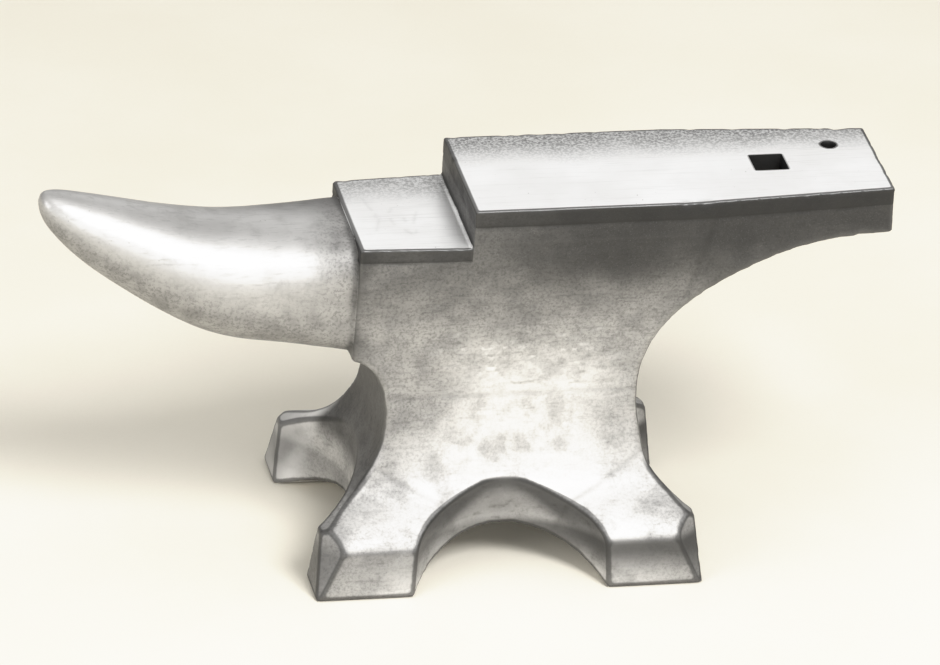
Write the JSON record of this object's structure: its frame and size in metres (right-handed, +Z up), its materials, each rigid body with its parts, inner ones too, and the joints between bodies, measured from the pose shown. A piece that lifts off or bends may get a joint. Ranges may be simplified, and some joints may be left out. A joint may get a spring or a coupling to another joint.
{
  "type": "blacksmith anvil",
  "caption": "London-pattern blacksmith's anvil for hand forging: hardened face, cutting table, upturned horn, hardy and pritchel holes, narrow waist and splayed feet.",
  "frame": {"origin": "on the floor, under the middle of the overall length and width", "axes": "+X from the horn towards the heel, +Y towards the side nearer the pritchel hole, +Z up and square to the working face"},
  "size_m": [0.71, 0.254, 0.328],
  "materials": {
    "ground_steel_face": "ground and worn bright, fine scratches",
    "ground_steel_table": "ground, dulled by chisel work",
    "dressed_iron_horn": "satin, dressed smooth by use",
    "forged_iron_body": "rough forged, matt grey, mottled"
  },
  "bodies": {
    "root": {"face_plate": "ground_steel_face", "table_plate": "ground_steel_table", "upper_body": "forged_iron_body", "lower_body": "forged_iron_body", "heel": "forged_iron_body", "horn": "dressed_iron_horn", "foot_near_horn": "forged_iron_body", "foot_near_heel": "forged_iron_body", "foot_far_horn": "forged_iron_body", "foot_far_heel": "forged_iron_body"}
  },
  "joints": []
}
